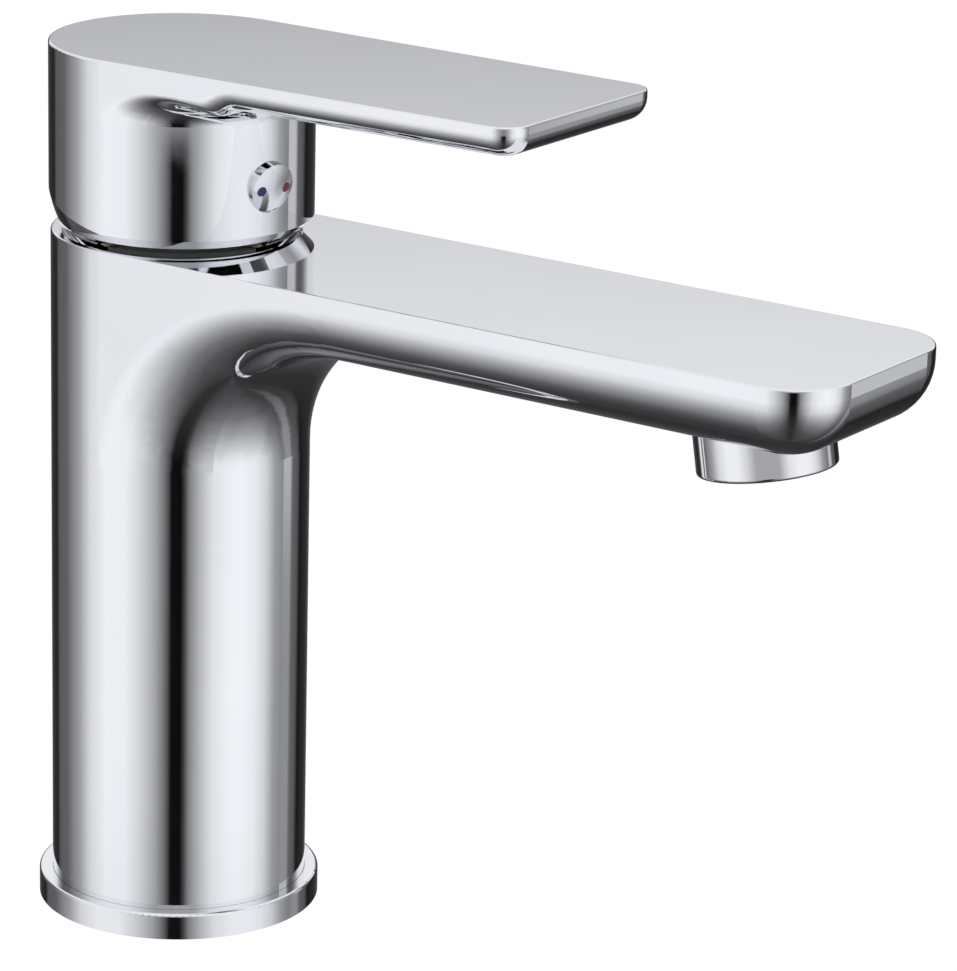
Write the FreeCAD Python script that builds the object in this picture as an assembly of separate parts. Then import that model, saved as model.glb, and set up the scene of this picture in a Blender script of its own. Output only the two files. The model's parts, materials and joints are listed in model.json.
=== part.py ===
import FreeCAD, Part
import math
import os

# Single-lever bathroom mixer faucet. Millimetres, Z up, spout along +X.
# The origin is the centre of the underside of the base ring.

V = FreeCAD.Vector
X_AXIS = V(1, 0, 0)
Y_AXIS = V(0, 1, 0)
Z_AXIS = V(0, 0, 1)

# Body casting
COLUMN_R = 23.0
TOP_Z = 124.5
FOOT_Z = 2.5
SPOUT_TIP_X = 143.4
SPOUT_UNDER_Z = 111.2
SPOUT_EDGE_R = 10.8
SPOUT_CORNER_R = 11.0
BLEND_R = 25.0
TOP_EDGE_R = 0.4
COLUMN_BORE_R = 18.0
WEB_Z = (32.0, 44.0)
SEAT_Z = (82.0, 88.0)
CHAMBER_R = 17.8
NUT_BORE_R = 19.2
TRIM_BORE_R = 21.5
TRIM_TOP_Z = 123.8
TRIM_HOLE_R = 15.3
NUT_Z = (111.0, 116.0)
TUBE_X = -5.0
TUBE_Y = 8.0
TUBE_R = 6.5
TUBE_BORE_R = 4.0
INLET_R = 5.0
INLET_DEPTH = 10.0
STUD_X = 10.0
STUD_R = 4.0

# Base ring and gasket
BASE_R = 25.4
BASE_H = 4.75
GASKET_R = (21.5, 24.0)
GASKET_H = 1.2

# Aerator, on a tilted axis
AERATOR_FACE = V(121.6, 0, 103.6)
AERATOR_TILT = 9.3
AERATOR_R = 11.72
AERATOR_THREAD_R = 10.9
AERATOR_SHOULDER = 9.9
AERATOR_LENGTH = 14.4

# Handle
PIVOT_Z = 136.5
HANDLE_R = 23.3
HANDLE_TOP_Z = 158.0
HANDLE_BOTTOM_Z = 124.9
HANDLE_LINE_Z = 127.6
HANDLE_BOTTOM_R = 20.6
HANDLE_CAVITY_R = 19.6
HEEL_R = 24.95
HEEL_X = 1.6
BLADE_TIP_X = 84.3
BLADE_TIP_HALF = 21.7
BLADE_UNDER_Z = 152.6
BLADE_EDGE_R = 4.0
BLADE_CORNER_R = 5.0
BLADE_BLEND_R = 5.0
BLADE_BLEND_HASTE = 6.0
BOWL_R = 24.6
BUTTON_Z = 136.1
BUTTON_R = 4.45
BUTTON_SEAT_R = 22.4
BUTTON_H = 2.3
BUTTON_DOME_R = 16.0
BUTTON_TURN = -11.5
SCREW_ANGLE = 13.0
SCREW_START = 15.5
SCREW_R = 2.5
STEM_HALF = 4.0

# Cartridge
SHELL_R = 15.5
FLANGE_R = 17.6
NECK_R = 13.0
NECK_TOP_Z = 130.0
BARREL_R = 10.4
BARREL_TOP_Z = 131.0
RUNNING = 0.05
PIN_R = 1.75
BALL_ARM = 17.3
BALL_R = 3.0
REST_ANGLE = 9.0
PORT_X = -5.0
PORT_Y = 6.0
PORT_R = 2.9
OUT_X = 5.5
OUT_R = 3.4
DISC_Z = 93.0
DISC_H = 4.0
MOVING_Z = 97.05
CARRIER_Z = 100.8
ROTOR_Z = 104.8
SHOULDER_Z = 108.4
CARRIER_HALF_Y = 5.4
STEM_TOP_Z = 151.0
SEAL_Z = 119.6
MARK_Y = 2.75
MARK_R = 0.9
BALL_X = -BALL_ARM * math.sin(math.radians(REST_ANGLE))
BALL_Z = PIVOT_Z - BALL_ARM * math.cos(math.radians(REST_ANGLE))


def cyl(radius, z0, z1, x=0.0, y=0.0):
    return Part.makeCylinder(radius, z1 - z0, V(x, y, z0), Z_AXIS)


def tube(outer, inner, z0, z1, x=0.0, y=0.0):
    return cyl(outer, z0, z1, x, y).cut(cyl(inner, z0 - 1, z1 + 1, x, y))


def block(x0, x1, y0, y1, z0, z1):
    return Part.makeBox(x1 - x0, y1 - y0, z1 - z0, V(x0, y0, z0))


def revolve(points):
    """Solid of revolution about Z from closed (radius, height) points."""
    vectors = [V(r, 0, z) for r, z in points]
    face = Part.Face(Part.makePolygon(vectors + [vectors[0]]))
    return face.revolve(V(0, 0, 0), Z_AXIS, 360)


def along(shape, origin, tilt_deg):
    """Carry a shape built on +Z at the origin to a place, turned about Y."""
    placed = shape.copy()
    placed.rotate(V(0, 0, 0), Y_AXIS, tilt_deg)
    placed.translate(origin)
    return placed


def seam_points(radius, half_end, tip_x):
    """Tangent point on the round part and the slope of the side towards the tip."""
    beta = math.asin(radius / math.hypot(tip_x, half_end)) - math.atan2(half_end, tip_x)
    return radius * math.sin(beta), radius * math.cos(beta), beta


def side_half(x, radius, beta):
    return (radius - x * math.sin(beta)) / math.cos(beta)


def neck_rows(radius, beta, blend_r, under_z, edge_r, haste, steps, t_values):
    """Grid of points on the smooth skin between a round column and a flat arm.

    Each row lies in a plane through the blend's axis. The first row is the
    round front of the column, and the last is the rounded underside of the arm.
    A larger haste makes the section reach the arm's shape sooner.
    """
    axis_x = radius + blend_r
    axis_z = under_z - blend_r
    half = side_half(axis_x, radius, beta)
    flat = half - edge_r
    length = flat + edge_r * math.pi / 2
    end_angle = math.pi / 2 - beta
    rows = []
    for i in range(steps + 1):
        theta = math.pi / 2 * i / steps
        weight = 1 - math.cos(theta) ** (2 * haste)
        depth_end = (1 - weight) * radius * (1 - math.cos(end_angle)) + weight * edge_r
        y_end = (1 - weight) * radius * math.sin(end_angle) + weight * half
        x_end = axis_x - (blend_r + depth_end) * math.cos(theta)
        fix = side_half(x_end, radius, beta) / y_end
        row = []
        for t in t_values:
            run = abs(t) * length
            if run <= flat:
                y1, d1 = run, 0.0
            else:
                turn = (run - flat) / edge_r
                y1 = flat + edge_r * math.sin(turn)
                d1 = edge_r * (1 - math.cos(turn))
            angle = abs(t) * end_angle
            y0 = radius * math.sin(angle)
            d0 = radius * (1 - math.cos(angle))
            y = ((1 - weight) * y0 + weight * y1) * fix * (1 if t > 0 else -1)
            rho = blend_r + (1 - weight) * d0 + weight * d1
            row.append(V(axis_x - rho * math.cos(theta), y, axis_z + rho * math.sin(theta)))
        rows.append(row)
    return rows


def spread(low, high, count):
    return [low + (high - low) * i / count for i in range(count + 1)]


def neck(radius, beta, blend_r, under_z, edge_r, top_z, haste=1.0):
    """Closed solid from the level where the blend starts to the top plane."""
    axis_x = radius + blend_r
    axis_z = under_z - blend_r
    half = side_half(axis_x, radius, beta)
    flat = half - edge_r
    split = flat / (flat + edge_r * math.pi / 2)
    skins = []
    for low, high, count in ((-1.0, -split, 16), (-split, split, 16), (split, 1.0, 16)):
        rows = neck_rows(radius, beta, blend_r, under_z, edge_r, haste, 24,
                         spread(low, high, count))
        surface = Part.BSplineSurface()
        surface.interpolate(rows)
        skins.append((surface.toShape(), rows))
    tangent_x = radius * math.sin(beta)
    tangent_y = radius * math.cos(beta)
    faces = [skin for skin, rows in skins]

    def row_edge(skin, rows, index):
        mid = rows[index][len(rows[index]) // 2]
        return min(skin.Edges, key=lambda e: e.distToShape(Part.Vertex(mid))[0])

    def side_edge(skin, rows, column):
        mid = rows[len(rows) // 2][column]
        return min(skin.Edges, key=lambda e: e.distToShape(Part.Vertex(mid))[0])

    back_low = Part.Arc(V(tangent_x, tangent_y, axis_z), V(-radius, 0, axis_z),
                        V(tangent_x, -tangent_y, axis_z)).toShape()
    back_high = back_low.copy()
    back_high.translate(V(0, 0, top_z - axis_z))
    faces.append(back_low.extrude(V(0, 0, top_z - axis_z)))
    low_edges = [row_edge(skin, rows, 0) for skin, rows in skins]
    faces.append(Part.Face(Part.Wire(Part.__sortEdges__(low_edges + [back_low]))))
    front_edges = [row_edge(skin, rows, -1) for skin, rows in skins]
    corners = {}
    for sign in (-1, 1):
        lip = V(axis_x, sign * half, under_z + edge_r)
        high = V(axis_x, sign * half, top_z)
        foot = V(tangent_x, sign * tangent_y, axis_z)
        back = V(tangent_x, sign * tangent_y, top_z)
        corners[sign] = (lip, high, foot, back)
        skin, rows = skins[0] if sign < 0 else skins[2]
        curve = side_edge(skin, rows, 0 if sign < 0 else -1)
        lines = [Part.makeLine(lip, high), Part.makeLine(high, back), Part.makeLine(back, foot)]
        faces.append(Part.Face(Part.Wire(Part.__sortEdges__([curve] + lines))))
    front = [Part.makeLine(corners[s][0], corners[s][1]) for s in (-1, 1)]
    front.append(Part.makeLine(corners[-1][1], corners[1][1]))
    faces.append(Part.Face(Part.Wire(Part.__sortEdges__(front_edges + front))))
    top = [Part.makeLine(corners[s][1], corners[s][3]) for s in (-1, 1)]
    top.append(Part.makeLine(corners[-1][1], corners[1][1]))
    faces.append(Part.Face(Part.Wire(Part.__sortEdges__(top + [back_high]))))
    shell = Part.makeShell(faces)
    shell.sewShape(1e-3)
    solid = Part.makeSolid(shell.Shells[0] if shell.ShapeType == "Compound" else shell)
    if solid.Volume < 0:
        solid.reverse()
    return solid


def arm(start_x, start_half, tip_x, tip_half, corner_r, under_z, edge_r, top_z):
    """Flat arm from start_x to the tip, with its lower edges rounded."""
    points = [V(start_x, -start_half, under_z), V(tip_x, -tip_half, under_z),
              V(tip_x, tip_half, under_z), V(start_x, start_half, under_z)]
    plate = Part.Face(Part.makePolygon(points + [points[0]])).extrude(V(0, 0, top_z - under_z))
    posts = [e for e in plate.Edges if abs(e.tangentAt(e.FirstParameter).z) > 0.9
             and e.CenterOfMass.x > tip_x - 1]
    plate = plate.makeFillet(corner_r, posts)
    under = [e for e in plate.Edges if abs(e.BoundBox.ZMax - under_z) < 1e-4
             and e.BoundBox.XMax > start_x + 0.01]
    return plate.makeFillet(edge_r, under)


def round_top_edges(shape, top_z, radius):
    edges = [e for e in shape.Edges if e.BoundBox.ZMin > top_z - 1e-4]
    return shape.makeFillet(radius, edges)


def body_outside():
    start = COLUMN_R + BLEND_R
    column = cyl(COLUMN_R, FOOT_Z, SPOUT_UNDER_Z - BLEND_R)
    blend = neck(COLUMN_R, 0.0, BLEND_R, SPOUT_UNDER_Z, SPOUT_EDGE_R, TOP_Z)
    spout = arm(start, COLUMN_R, SPOUT_TIP_X, COLUMN_R, SPOUT_CORNER_R,
                SPOUT_UNDER_Z, SPOUT_EDGE_R, TOP_Z)
    outer = column.fuse([blend, spout], 1e-3).removeSplitter()
    return round_top_edges(outer, TOP_Z, TOP_EDGE_R)


def aerator_place(shape):
    """Carry a shape from +Z at the origin to the aerator: its Z runs from the outlet inwards."""
    return along(shape, AERATOR_FACE, -AERATOR_TILT)


def spout_hollow():
    """Water way in the spout: a flat channel, with a raised seat left round the aerator."""
    channel = block(36, 138.5, -19, 19, 113.8, 122.0)
    posts = [e for e in channel.Edges if abs(e.tangentAt(e.FirstParameter).z) > 0.9]
    channel = channel.makeFillet(9.0, posts)
    floor = [e for e in channel.Edges if e.BoundBox.ZMax < 113.8 + 1e-4]
    channel = channel.makeFillet(5.5, floor)
    return channel.cut(aerator_place(cyl(AERATOR_R + 2.4, 0, AERATOR_LENGTH + 0.2)))


def faucet_body():
    body = body_outside()
    cavity = cyl(COLUMN_BORE_R, FOOT_Z - 1, SEAT_Z[0])
    keep = block(-12.5, 16.5, -COLUMN_R, COLUMN_R, *WEB_Z)
    for side in (-1, 1):
        keep = keep.fuse(cyl(TUBE_R, WEB_Z[0], SEAT_Z[0] + 1, TUBE_X, side * TUBE_Y))
    body = body.cut(cavity.cut(keep))
    cuts = [cyl(CHAMBER_R, SEAT_Z[1], NUT_Z[0])]
    cuts.append(cyl(NUT_BORE_R, NUT_Z[0], NUT_Z[1] + 0.6))
    cuts.append(cyl(TRIM_BORE_R, NUT_Z[1] + 0.6, TOP_Z + 1))
    cuts.append(cyl(STUD_R, WEB_Z[0] - 1, WEB_Z[1] + 1, STUD_X))
    for side in (-1, 1):
        cuts.append(cyl(INLET_R, WEB_Z[0] - 1, WEB_Z[0] + INLET_DEPTH, TUBE_X, side * TUBE_Y))
        cuts.append(cyl(TUBE_BORE_R, WEB_Z[0], SEAT_Z[0] + 1, TUBE_X, side * TUBE_Y))
        cuts.append(cyl(PORT_R, SEAT_Z[0], SEAT_Z[1] + 1, PORT_X, side * PORT_Y))
    passage = Part.makeCylinder(3.6, 34, V(15, 0, 101.6), V(27, 0, 17))
    cuts.append(passage)
    cuts.append(spout_hollow())
    cuts.append(aerator_place(cyl(AERATOR_R + 0.25, -2, AERATOR_SHOULDER)))
    cuts.append(aerator_place(cyl(AERATOR_THREAD_R, AERATOR_SHOULDER - 1, AERATOR_LENGTH + 2)))
    return body.cut(cuts)


def base_ring():
    ring = cyl(BASE_R, 0, BASE_H)
    ring = ring.makeFillet(0.5, [e for e in ring.Edges if e.BoundBox.ZMin > BASE_H - 0.01])
    ring = ring.cut(cyl(COLUMN_R + RUNNING, FOOT_Z, BASE_H + 1))
    ring = ring.cut(cyl(20.0, -1, FOOT_Z + 1))
    return ring.cut(tube(GASKET_R[1], GASKET_R[0], -1, GASKET_H))


def base_gasket():
    return tube(GASKET_R[1], GASKET_R[0], 0, GASKET_H)


def inlet_seal(side):
    return tube(4.4, PORT_R, SEAT_Z[1], SEAT_Z[1] + 1.5, PORT_X, side * PORT_Y)


def cartridge_base():
    base = cyl(SHELL_R, SEAT_Z[1], DISC_Z)
    for side in (-1, 1):
        base = base.cut(cyl(4.4, SEAT_Z[1] - 1, SEAT_Z[1] + 1.5, PORT_X, side * PORT_Y))
        base = base.cut(cyl(PORT_R, SEAT_Z[1], DISC_Z + 1, PORT_X, side * PORT_Y))
    base = base.cut(cyl(OUT_R, SEAT_Z[1] + 1.5, DISC_Z + 1, OUT_X))
    return base.cut(block(OUT_X, SHELL_R + 1, -3.2, 3.2, SEAT_Z[1] + 1.5, DISC_Z - 1.0))


def fixed_disc():
    disc = cyl(13.4, DISC_Z, DISC_Z + DISC_H)
    for side in (-1, 1):
        disc = disc.cut(cyl(PORT_R, DISC_Z - 1, DISC_Z + DISC_H + 1, PORT_X, side * PORT_Y))
    disc = disc.cut(cyl(OUT_R, DISC_Z - 1, DISC_Z + DISC_H + 1, OUT_X))
    return disc


def cartridge_housing():
    low = DISC_Z
    shell = cyl(SHELL_R, low, SHOULDER_Z + 2.0)
    shell = shell.fuse(cyl(FLANGE_R, NUT_Z[0] - 2.8, NUT_Z[0]))
    shell = shell.fuse(cyl(NECK_R, NUT_Z[0] - 1, NECK_TOP_Z))
    shell = shell.cut(cyl(13.5, low - 1, low + DISC_H))
    shell = shell.cut(cyl(14.3, low + DISC_H, SHOULDER_Z))
    shell = shell.cut(cyl(BARREL_R + RUNNING, SHOULDER_Z - 1, NECK_TOP_Z + 1))
    return shell.removeSplitter()


def outlet_seal():
    return Part.makeTorus(SHELL_R + 1.14, 1.12, V(0, 0, NUT_Z[0] - 2.8 - 1.15), Z_AXIS)


def cartridge_nut():
    nut = tube(NUT_BORE_R, 13.6, *NUT_Z)
    for i in range(6):
        slot = block(16.4, 20.0, -1.8, 1.8, NUT_Z[1] - 2.2, NUT_Z[1] + 1)
        slot.rotate(V(0, 0, 0), Z_AXIS, 60 * i + 30)
        nut = nut.cut(slot)
    return nut


def trim_ring():
    """Bowl concentric with the pivot, pressed into the top of the body."""
    ring = cyl(TRIM_BORE_R, NUT_Z[1] + 0.6, TRIM_TOP_Z)
    ring = ring.cut(Part.makeSphere(BOWL_R, V(0, 0, PIVOT_Z)))
    under = Part.makeSphere(BOWL_R + 0.9, V(0, 0, PIVOT_Z))
    ring = ring.common(under.fuse(tube(TRIM_BORE_R + 1, 20.2, 0, TOP_Z + 1)))
    ring = ring.cut(cyl(TRIM_HOLE_R, 100, TOP_Z + 1))
    return ring.cut(tube(TRIM_BORE_R + 1, TRIM_BORE_R - 0.9, SEAL_Z, SEAL_Z + 1.8))


def trim_ring_seal():
    return tube(TRIM_BORE_R, TRIM_BORE_R - 0.9, SEAL_Z, SEAL_Z + 1.8)


def aerator_housing():
    cup = cyl(AERATOR_R, 0, AERATOR_SHOULDER)
    rim = [e for e in cup.Edges if e.BoundBox.ZMax < 0.01]
    cup = cup.makeFillet(0.6, rim)
    cup = cup.fuse(cyl(AERATOR_THREAD_R, AERATOR_SHOULDER, AERATOR_LENGTH - 1.0))
    cup = cup.cut(cyl(9.3, -1, 2.2))
    cup = cup.cut(cyl(9.9, 2.0, AERATOR_LENGTH + 1))
    lip = tube(10.2, 9.2, 0.9, 2.0)
    return aerator_place(cup.fuse(lip).removeSplitter())


def aerator_washer():
    return aerator_place(tube(AERATOR_THREAD_R, 7.6, AERATOR_LENGTH - 1.0, AERATOR_LENGTH + 0.6))


def aerator_core():
    """Honeycomb outlet: a ring crossed by thin square cells."""
    ring = tube(9.9, 8.9, 2.0, 8.0)
    ribs = []
    for i in range(-4, 5):
        ribs.append(block(-9.4, 9.4, i * 1.9 - 0.25, i * 1.9 + 0.25, 2.0, 7.0))
        ribs.append(block(i * 1.9 - 0.25, i * 1.9 + 0.25, -9.4, 9.4, 2.0, 7.0))
    grid = ribs[0].fuse(ribs[1:]).common(cyl(9.2, 2.0, 7.0))
    return aerator_place(ring.fuse(grid).removeSplitter())


def flow_restrictor():
    disc = cyl(9.9, 10.0, 12.0)
    for count, pcd_r in ((6, 3.0), (12, 6.4)):
        for i in range(count):
            turn = 2 * math.pi * i / count
            disc = disc.cut(cyl(0.7, 9, 13, pcd_r * math.cos(turn), pcd_r * math.sin(turn)))
    return aerator_place(disc)


def aerator_screen():
    screen = cyl(9.9, 8.0, 8.5)
    for i in range(-3, 4):
        for j in range(-3, 4):
            if math.hypot(i, j) * 2.3 < 8.6:
                screen = screen.cut(block(i * 2.3 - 0.8, i * 2.3 + 0.8,
                                          j * 2.3 - 0.8, j * 2.3 + 0.8, 7, 9))
    return aerator_place(screen)


def rotor():
    body = cyl(14.0, ROTOR_Z, SHOULDER_Z - 0.3)
    body = body.fuse(cyl(BARREL_R, ROTOR_Z, BARREL_TOP_Z))
    ears = []
    for side in (-1, 1):
        ear = cyl(4.2, 0, 3.2)
        ear.rotate(V(0, 0, 0), X_AXIS, 90)
        ear.translate(V(0, side * 6.0 + 1.6, PIVOT_Z))
        ears.append(ear)
        ears.append(block(-4.2, 4.2, side * 6.0 - 1.6, side * 6.0 + 1.6, BARREL_TOP_Z - 2, PIVOT_Z))
    body = body.fuse(ears)
    body = body.cut(block(-8.9, 8.9, -CARRIER_HALF_Y - RUNNING, CARRIER_HALF_Y + RUNNING,
                          ROTOR_Z - 1, 126.0))
    body = body.cut(block(-5.6, 8.6, -4.4, 4.4, 125.0, BARREL_TOP_Z + 1))
    pin_hole = Part.makeCylinder(PIN_R, 20, V(0, -10, PIVOT_Z), Y_AXIS)
    return body.cut(pin_hole).removeSplitter()


def pivot_pin():
    return Part.makeCylinder(PIN_R, 15.2, V(0, -7.6, PIVOT_Z), Y_AXIS)


def stem():
    top = block(-STEM_HALF, STEM_HALF, -STEM_HALF, STEM_HALF, PIVOT_Z, STEM_TOP_Z)
    hub = Part.makeCylinder(STEM_HALF, 2 * STEM_HALF, V(0, -STEM_HALF, PIVOT_Z), Y_AXIS)
    lower = Part.makeCone(3.6, 2.0, BALL_ARM, V(0, 0, 0), V(0, 0, -1))
    lower.rotate(V(0, 0, 0), Y_AXIS, REST_ANGLE)
    lower.translate(V(0, 0, PIVOT_Z))
    ball = Part.makeSphere(BALL_R, V(BALL_X, 0, BALL_Z))
    shape = top.fuse([hub, lower, ball])
    hole = Part.makeCylinder(PIN_R + RUNNING, 20, V(0, -10, PIVOT_Z), Y_AXIS)
    return shape.cut(hole).removeSplitter()


def to_button(shape):
    """Turn a shape built in the XZ plane to the button's side of the handle."""
    turned = shape.copy()
    turned.rotate(V(0, 0, 0), Z_AXIS, BUTTON_TURN)
    return turned


def screw_line(reach):
    """Point at a radius on the screw's axis, and the outward direction of that axis."""
    turn = math.radians(SCREW_ANGLE)
    point = V(reach, 0, BUTTON_Z - (reach - HANDLE_R) * math.tan(turn))
    return point, V(math.cos(turn), 0, -math.sin(turn))


def grub_screw():
    start, outward = screw_line(SCREW_START)
    screw = Part.makeCylinder(SCREW_R, SCREW_START, start, outward * -1)
    points = []
    for i in range(7):
        turn = math.pi / 3 * i
        points.append(V(1.45 * math.cos(turn), 1.45 * math.sin(turn), 0))
    socket = Part.Face(Part.makePolygon(points)).extrude(V(0, 0, 3.2))
    socket.rotate(V(0, 0, 0), Y_AXIS, SCREW_ANGLE - 90)
    socket.translate(start + outward * 0.2)
    screw = to_button(screw.cut(socket))
    return screw.cut(block(-30, STEM_HALF, -20, 20, PIVOT_Z - 10, 160))


def handle_round():
    """Lower part of the handle: a chamfered cylinder, with a rounded heel that swings clear."""
    top = BLADE_UNDER_Z - BLADE_BLEND_R
    foot = revolve([(0, HANDLE_BOTTOM_Z), (HANDLE_BOTTOM_R, HANDLE_BOTTOM_Z),
                    (HANDLE_R, HANDLE_LINE_Z), (HANDLE_R, PIVOT_Z), (0, PIVOT_Z)])
    foot = foot.common(Part.makeSphere(HEEL_R, V(HEEL_X, 0, PIVOT_Z)))
    return foot.fuse(cyl(HANDLE_R, PIVOT_Z, top)).removeSplitter()


def handle_outside():
    tangent_x, tangent_y, beta = seam_points(HANDLE_R, BLADE_TIP_HALF, BLADE_TIP_X)
    start = HANDLE_R + BLADE_BLEND_R
    blend = neck(HANDLE_R, beta, BLADE_BLEND_R, BLADE_UNDER_Z, BLADE_EDGE_R, HANDLE_TOP_Z,
                 BLADE_BLEND_HASTE)
    blade = arm(start, side_half(start, HANDLE_R, beta), BLADE_TIP_X, BLADE_TIP_HALF,
                BLADE_CORNER_R, BLADE_UNDER_Z, BLADE_EDGE_R, HANDLE_TOP_Z)
    outer = handle_round().fuse([blend, blade], 1e-3).removeSplitter()
    return round_top_edges(outer, HANDLE_TOP_Z, 0.35)


def handle():
    shape = handle_outside()
    inner = cyl(HANDLE_CAVITY_R, HANDLE_BOTTOM_Z - 1, HANDLE_TOP_Z - 3.4)
    boss = block(-7.8, 9.6, -7.8, 7.8, 143.0, HANDLE_TOP_Z - 2)
    rib = to_button(block(6.2, HANDLE_R - 1.5, -4.0, 4.0, 133.6, 145.0))
    shape = shape.cut(inner.cut(boss.fuse(rib)))
    shape = shape.cut(block(-STEM_HALF, STEM_HALF, -STEM_HALF, STEM_HALF, 142, STEM_TOP_Z))
    outer_end, outward = screw_line(30)
    bore = Part.makeCylinder(SCREW_R, 28, outer_end, outward * -1)
    seat, outward = screw_line(BUTTON_SEAT_R)
    pocket = Part.makeCylinder(BUTTON_R, 6, seat, outward)
    return shape.cut([to_button(bore), to_button(pocket)])


def button_head():
    seat, outward = screw_line(BUTTON_SEAT_R)
    head = Part.makeCylinder(BUTTON_R, BUTTON_H, seat, outward)
    dome = Part.makeSphere(BUTTON_DOME_R, seat + outward * (BUTTON_H - BUTTON_DOME_R))
    return head.common(dome)


def mark_column(side):
    seat, outward = screw_line(BUTTON_SEAT_R)
    start = seat + outward * (BUTTON_H - 0.9) + V(0, side * MARK_Y, 0)
    return Part.makeCylinder(MARK_R, 2, start, outward)


def index_button():
    """Domed cover with a short plug in the screw's access hole."""
    seat, outward = screw_line(BUTTON_SEAT_R)
    plug = Part.makeCylinder(SCREW_R, 2.0, seat, outward * -1)
    button = button_head().cut([mark_column(-1), mark_column(1)])
    return to_button(button.fuse(plug).removeSplitter())


def button_mark(side):
    return to_button(button_head().common(mark_column(side)))


def disc_carrier():
    plate = cyl(11.0, CARRIER_Z, CARRIER_Z + 3.6, BALL_X)
    post = block(BALL_X - 5.6, BALL_X + 5.6, -CARRIER_HALF_Y, CARRIER_HALF_Y,
                 CARRIER_Z, BALL_Z + 3.6)
    corners = [e for e in post.Edges if abs(e.tangentAt(e.FirstParameter).z) > 0.9]
    post = post.makeFillet(1.0, corners)
    shape = plate.fuse(post).removeSplitter()
    shape = shape.cut(cyl(BALL_R + RUNNING, BALL_Z - 4.5, BALL_Z + 5, BALL_X))
    return shape.cut(tube(9.4, 8.4, CARRIER_Z - 1, CARRIER_Z + 0.8, BALL_X))


def moving_disc():
    disc = cyl(11.0, MOVING_Z, CARRIER_Z, BALL_X)
    pocket = block(-7.5, 6.5, -5.0, 5.0, MOVING_Z - 1, MOVING_Z + 1.6)
    posts = [e for e in pocket.Edges if abs(e.tangentAt(e.FirstParameter).z) > 0.9]
    pocket = pocket.makeFillet(2.5, posts)
    pocket.translate(V(BALL_X, 0, 0))
    return disc.cut(pocket)


def disc_seal():
    return tube(9.4, 8.4, CARRIER_Z, CARRIER_Z + 0.8, BALL_X)


def main():
    nodes = {
        "faucet_body": faucet_body, "base_ring": base_ring, "base_gasket": base_gasket,
        "cold_inlet_seal": lambda: inlet_seal(-1), "hot_inlet_seal": lambda: inlet_seal(1),
        "cartridge_base": cartridge_base, "fixed_disc": fixed_disc,
        "cartridge_housing": cartridge_housing, "outlet_seal": outlet_seal,
        "cartridge_nut": cartridge_nut, "trim_ring": trim_ring,
        "trim_ring_seal": trim_ring_seal, "aerator_housing": aerator_housing,
        "aerator_washer": aerator_washer, "aerator_core": aerator_core,
        "flow_restrictor": flow_restrictor, "aerator_screen": aerator_screen,
        "rotor": rotor, "pivot_pin": pivot_pin, "stem": stem, "handle": handle,
        "grub_screw": grub_screw, "index_button": index_button,
        "cold_mark": lambda: button_mark(-1), "hot_mark": lambda: button_mark(1),
        "disc_carrier": disc_carrier, "moving_disc": moving_disc, "disc_seal": disc_seal,
    }
    os.makedirs("parts", exist_ok=True)
    for name, build in nodes.items():
        shape = build()
        if not shape.isValid() or len(shape.Solids) != 1:
            print(name, "valid", shape.isValid(), "solids", len(shape.Solids))
        if shape.ShapeType == "Compound" and len(shape.Solids) == 1:
            shape = shape.Solids[0]
        shape.exportStep("parts/" + name + ".step")


if __name__ == "__main__":
    main()
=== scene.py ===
import json
import math

import bpy
from mathutils import Matrix, Vector

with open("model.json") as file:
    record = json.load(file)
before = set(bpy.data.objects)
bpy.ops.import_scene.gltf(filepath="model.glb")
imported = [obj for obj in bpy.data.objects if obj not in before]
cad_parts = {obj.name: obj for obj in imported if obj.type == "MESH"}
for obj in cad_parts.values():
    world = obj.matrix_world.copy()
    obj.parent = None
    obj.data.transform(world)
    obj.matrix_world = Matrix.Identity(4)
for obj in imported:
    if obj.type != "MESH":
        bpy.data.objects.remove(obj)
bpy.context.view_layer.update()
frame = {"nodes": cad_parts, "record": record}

# Camera, in metres: turned round the faucet from straight in front of its -Y side, and tipped down
CAMERA_AZIMUTH = math.radians(34.466)
CAMERA_ELEVATION = math.radians(17.108)
CAMERA_ROLL = math.radians(1.39)
CAMERA_DISTANCE = 0.791
CAMERA_TARGET = Vector((0.06454, 0.0, 0.08952))
CAMERA_CLIP_START = 0.01
LENS_MM = 172.1
SENSOR_MM = 36.0

# Studio light by direction, in degrees. Azimuth is counted from the camera, to its right.
# Panels: (azimuth, brightness)
PANELS = (
    (-180, 0.13), (-152, 0.03), (-140, 0.02), (-134, 0.11), (-118, 0.13), (-98, 0.38), (-84, 0.76),
    (-66, 0.97), (-46, 0.95), (-32, 0.72), (-18.5, 0.42), (-8, 0.12), (-4.5, 0.006), (4.5, 0.004),
    (8, 0.06), (12, 0.25), (22, 0.54), (33, 0.84), (48, 0.98), (60, 1.0), (74, 0.93), (86, 0.72),
    (97, 0.38), (108, 0.21), (120, 0.15), (132, 0.10), (138, 0.01), (146, 0.02), (158, 0.03),
    (180, 0.13),
)
# Share of the panels' light left at each elevation: the rest is LOW_GLOW
FALLOFF = (
    (-90, 0.02), (-78, 0.03), (-65, 0.07), (-53, 0.17), (-42, 0.36), (-32, 0.64), (-26, 0.84),
    (-21, 1.0),
)
LOW_GLOW = 0.034
# The dark gap round azimuth 0 ends at these elevations. Above them, and this far to each side,
# the light is at least STRIP_LIFT.
STRIP_END = (-13.2, -12.4)
STRIP_HALF_WIDTH = (20, 30)
STRIP_LIFT = 0.42
# Card that lights the tip of the spout: azimuths where it fades in and out, and (elevation, brightness)
TIP_CARD_START = (108, 114)
TIP_CARD_END = (118, 124)
TIP_CARD_GLOW = ((-90, 0.03), (-70, 0.05), (-50, 0.16), (-30, 0.28), (-18.5, 0.30), (-16.2, 0.56))
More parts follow.
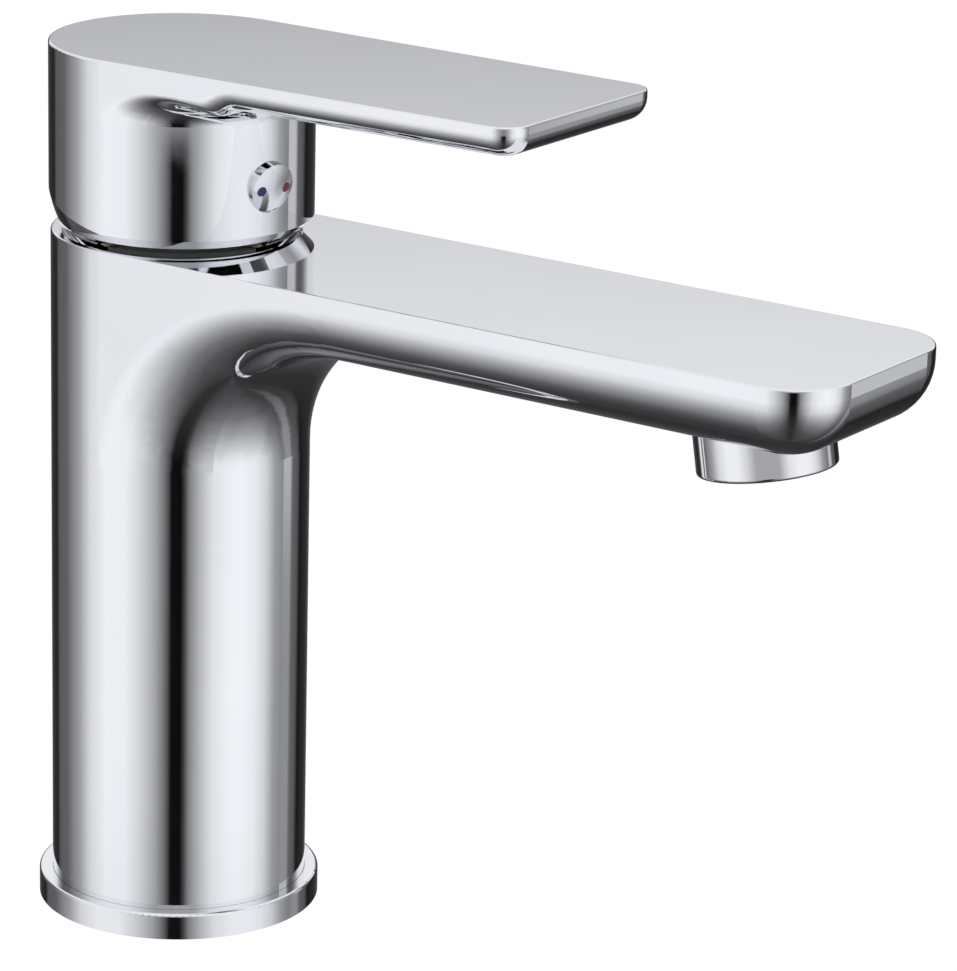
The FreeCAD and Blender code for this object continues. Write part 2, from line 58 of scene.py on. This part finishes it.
# Ceiling: elevations over which it comes in, on the camera's side and on the far side, and the
# distance from azimuth 0 over which the first turns into the second
CEILING_RISE_AHEAD = (24, 44)
CEILING_RISE_BEHIND = (4, 19)
BEHIND = (128, 152)
CEILING_GLOW = 0.92
# Light on matt surfaces, and the white behind the faucet
ROOM_GLOW = 1.0
BACKDROP_GLOW = 1.02
TINT = (0.985, 0.99, 1.02)

# Finishes by the record's material slots: two colours that the grain runs between, metallic,
# lowest and highest roughness, grains per metre, depth of the grain in metres, and clear coat
FINISHES = {
    "chrome_body": ((0.90, 0.905, 0.92), (0.875, 0.885, 0.905), 1.0, 0.018, 0.05, 90, 4e-7, 0.0),
    "chrome_handle": ((0.90, 0.905, 0.92), (0.875, 0.885, 0.905), 1.0, 0.015, 0.045, 110, 4e-7, 0.0),
    "chrome_trim": ((0.89, 0.895, 0.91), (0.86, 0.87, 0.89), 1.0, 0.025, 0.07, 160, 5e-7, 0.0),
    "chrome_plastic": ((0.86, 0.865, 0.88), (0.83, 0.84, 0.86), 1.0, 0.04, 0.09, 240, 1e-6, 0.0),
    "brass_nut": ((0.52, 0.40, 0.22), (0.42, 0.31, 0.16), 1.0, 0.22, 0.42, 700, 1.5e-5, 0.0),
    "steel": ((0.60, 0.61, 0.63), (0.48, 0.49, 0.51), 1.0, 0.20, 0.38, 900, 8e-6, 0.0),
    "black_rubber": ((0.016, 0.016, 0.017), (0.032, 0.031, 0.030), 0.0, 0.55, 0.75, 1400, 2e-5, 0.0),
    "cartridge_plastic": ((0.80, 0.80, 0.77), (0.72, 0.72, 0.69), 0.0, 0.34, 0.48, 500, 8e-6, 0.0),
    "rotor_plastic": ((0.075, 0.08, 0.09), (0.11, 0.115, 0.125), 0.0, 0.36, 0.5, 600, 8e-6, 0.0),
    "alumina_ceramic": ((0.84, 0.80, 0.72), (0.77, 0.73, 0.65), 0.0, 0.12, 0.24, 1800, 2e-6, 0.4),
    "aerator_plastic": ((0.60, 0.65, 0.70), (0.50, 0.55, 0.60), 0.0, 0.28, 0.42, 700, 8e-6, 0.0),
    "red_mark": ((0.24, 0.010, 0.014), (0.17, 0.007, 0.010), 0.0, 0.18, 0.30, 1500, 3e-6, 0.25),
    "blue_mark": ((0.012, 0.030, 0.17), (0.008, 0.020, 0.12), 0.0, 0.18, 0.30, 1500, 3e-6, 0.25),
}
COAT_ROUGHNESS = 0.08
# The colour follows a broader noise than the gloss and the surface do
BROAD_SCALE = 0.35
BROAD_DETAIL = 3.0
FINE_DETAIL = 5.0
COLOUR_NOISE = (0.32, 0.68)
GLOSS_NOISE = (0.3, 0.7)


class Graph:
    """The node tree of a material or world, with short calls for the nodes used here."""

    def __init__(self, owner):
        owner.use_nodes = True
        self.tree = owner.node_tree
        self.tree.nodes.clear()

    def add(self, kind, **settings):
        node = self.tree.nodes.new(kind)
        for name, value in settings.items():
            setattr(node, name, value)
        return node

    def feed(self, socket, value):
        """Links another node's output to the socket, or sets a plain value on it."""
        if isinstance(value, bpy.types.NodeSocket):
            self.tree.links.new(value, socket)
        else:
            socket.default_value = value

    def math(self, operation, *values):
        node = self.add("ShaderNodeMath", operation=operation)
        for socket, value in zip(node.inputs, values):
            self.feed(socket, value)
        return node.outputs[0]

    def mix(self, factor, first, second):
        node = self.add("ShaderNodeMix", data_type="FLOAT")
        for place, value in ((0, factor), (2, first), (3, second)):
            self.feed(node.inputs[place], value)
        return node.outputs[0]

    def mix_colours(self, factor, first, second):
        node = self.add("ShaderNodeMix", data_type="RGBA")
        for place, value in ((0, factor), (6, (*first, 1)), (7, (*second, 1))):
            self.feed(node.inputs[place], value)
        return node.outputs[2]

    def smooth(self, source, low, high, start=0.0, end=1.0):
        """source mapped from low..high to start..end, with smooth ends."""
        node = self.add("ShaderNodeMapRange", interpolation_type="SMOOTHSTEP")
        for socket, value in zip(node.inputs, (source, low, high, start, end)):
            self.feed(socket, value)
        return node.outputs[0]

    def fade_in(self, angle, degrees):
        return self.smooth(angle, *map(math.radians, degrees))

    def fade_out(self, angle, degrees):
        return self.smooth(angle, *map(math.radians, degrees), 1.0, 0.0)

    def stepped(self, angle, stops, span):
        """Value by angle from (degrees, value) stops, with straight runs between them."""
        ramp = self.add("ShaderNodeValToRGB")
        ramp.color_ramp.interpolation = "LINEAR"
        elements = ramp.color_ramp.elements
        for place, (degrees, value) in enumerate(stops):
            position = degrees / span + 0.5
            stop = elements[place] if place < 2 else elements.new(position)
            stop.position = position
            stop.color = (value, value, value, 1)
        self.feed(ramp.inputs[0], self.math("MULTIPLY_ADD", angle, 180 / math.pi / span, 0.5))
        return ramp.outputs[0]

    def noise(self, vector, scale, detail):
        node = self.add("ShaderNodeTexNoise")
        for name, value in (("Vector", vector), ("Scale", scale), ("Detail", detail)):
            self.feed(node.inputs[name], value)
        return node.outputs[0]


def camera_back():
    """Unit vector from the target to the camera."""
    level = math.cos(CAMERA_ELEVATION)
    return Vector((math.sin(CAMERA_AZIMUTH) * level, -math.cos(CAMERA_AZIMUTH) * level,
                   math.sin(CAMERA_ELEVATION)))


def make_camera():
    data = bpy.data.cameras.new("camera")
    data.lens = LENS_MM
    data.sensor_width = SENSOR_MM
    data.sensor_fit = "AUTO"
    data.clip_start = CAMERA_CLIP_START
    data.dof.use_dof = False
    camera = bpy.data.objects.new("camera", data)
    bpy.context.collection.objects.link(camera)
    back = camera_back()
    across = Vector((0, 0, 1)).cross(back).normalized()
    up = back.cross(across)
    right = across * math.cos(CAMERA_ROLL) + up * math.sin(CAMERA_ROLL)
    upright = up * math.cos(CAMERA_ROLL) - across * math.sin(CAMERA_ROLL)
    turn = Matrix((right, upright, back)).transposed().to_4x4()
    camera.matrix_world = Matrix.Translation(CAMERA_TARGET + back * CAMERA_DISTANCE) @ turn
    bpy.context.scene.camera = camera


def direction_angles(graph):
    """Azimuth from the photo's camera and elevation of a direction, in radians."""
    place = graph.add("ShaderNodeTexCoord")
    turn = graph.add("ShaderNodeVectorRotate", rotation_type="Z_AXIS")
    graph.feed(turn.inputs["Vector"], place.outputs["Generated"])
    graph.feed(turn.inputs["Angle"], math.pi / 2 - CAMERA_AZIMUTH)
    parts = graph.add("ShaderNodeSeparateXYZ")
    graph.feed(parts.inputs[0], turn.outputs[0])
    azimuth = graph.math("ARCTAN2", parts.outputs["Y"], parts.outputs["X"])
    elevation = graph.math("ARCSINE", parts.outputs["Z"])
    return azimuth, elevation


def panel_light(graph, azimuth, elevation):
    panels = graph.stepped(azimuth, PANELS, 360)
    share = graph.stepped(elevation, FALLOFF, 180)
    return graph.mix(share, LOW_GLOW, panels)


def end_strip(graph, light, aside, elevation):
    above = graph.fade_in(elevation, STRIP_END)
    ahead = graph.fade_out(aside, STRIP_HALF_WIDTH)
    lifted = graph.math("MAXIMUM", light, STRIP_LIFT)
    return graph.mix(graph.math("MULTIPLY", above, ahead), light, lifted)


def add_tip_card(graph, light, azimuth, elevation):
    started = graph.fade_in(azimuth, TIP_CARD_START)
    not_ended = graph.fade_out(azimuth, TIP_CARD_END)
    glow = graph.stepped(elevation, TIP_CARD_GLOW, 180)
    return graph.mix(graph.math("MULTIPLY", started, not_ended), light, glow)


def add_ceiling(graph, light, aside, elevation):
    ahead = graph.fade_in(elevation, CEILING_RISE_AHEAD)
    behind = graph.fade_in(elevation, CEILING_RISE_BEHIND)
    ceiling = graph.mix(graph.fade_in(aside, BEHIND), ahead, behind)
    return graph.mix(ceiling, light, CEILING_GLOW)


def light_by_ray(graph, light):
    """Only reflections see the studio: matt surfaces get even light, and the backdrop is white."""
    path = graph.add("ShaderNodeLightPath")
    light = graph.mix(path.outputs["Is Diffuse Ray"], light, ROOM_GLOW)
    return graph.mix(path.outputs["Is Camera Ray"], light, BACKDROP_GLOW)


def make_world():
    """Soft panels left and right of the camera, a dark gap between them and a bright ceiling."""
    world = bpy.data.worlds.new("studio")
    graph = Graph(world)
    azimuth, elevation = direction_angles(graph)
    aside = graph.math("ABSOLUTE", azimuth)
    light = panel_light(graph, azimuth, elevation)
    light = end_strip(graph, light, aside, elevation)
    light = add_tip_card(graph, light, azimuth, elevation)
    light = add_ceiling(graph, light, aside, elevation)
    light = light_by_ray(graph, light)
    colour = graph.add("ShaderNodeVectorMath", operation="SCALE")
    graph.feed(colour.inputs[0], TINT)
    graph.feed(colour.inputs["Scale"], light)
    background = graph.add("ShaderNodeBackground")
    graph.feed(background.inputs["Color"], colour.outputs[0])
    output = graph.add("ShaderNodeOutputWorld")
    graph.feed(output.inputs["Surface"], background.outputs[0])
    bpy.context.scene.world = world


def finish(name):
    """Material for one of the record's slots: fine grain in the colour, the gloss and the surface."""
    first, second, metallic, gloss_low, gloss_high, grain, depth, coat = FINISHES[name]
    material = bpy.data.materials.new(name)
    graph = Graph(material)
    place = graph.add("ShaderNodeTexCoord").outputs["Object"]
    broad = graph.noise(place, grain * BROAD_SCALE, BROAD_DETAIL)
    fine = graph.noise(place, grain, FINE_DETAIL)
    bump = graph.add("ShaderNodeBump")
    graph.feed(bump.inputs["Strength"], 1.0)
    graph.feed(bump.inputs["Distance"], depth)
    graph.feed(bump.inputs["Height"], fine)
    shader = graph.add("ShaderNodeBsdfPrincipled")
    values = {
        "Base Color": graph.mix_colours(graph.smooth(broad, *COLOUR_NOISE), first, second),
        "Metallic": metallic,
        "Roughness": graph.smooth(fine, *GLOSS_NOISE, gloss_low, gloss_high),
        "Coat Weight": coat,
        "Coat Roughness": COAT_ROUGHNESS,
        "Normal": bump.outputs[0],
    }
    for socket, value in values.items():
        graph.feed(shader.inputs[socket], value)
    output = graph.add("ShaderNodeOutputMaterial")
    graph.feed(output.inputs["Surface"], shader.outputs[0])
    return material


def paint_nodes():
    """Every CAD node gets the finish of its slot in the record."""
    made = {name: finish(name) for name in FINISHES}
    for part in frame["record"]["subparts"]:
        node = frame["nodes"][part["node"]]
        node.data.materials.clear()
        node.data.materials.append(made[part["material_slot"]])


make_camera()
make_world()
bpy.context.scene.view_settings.view_transform = "Standard"
paint_nodes()
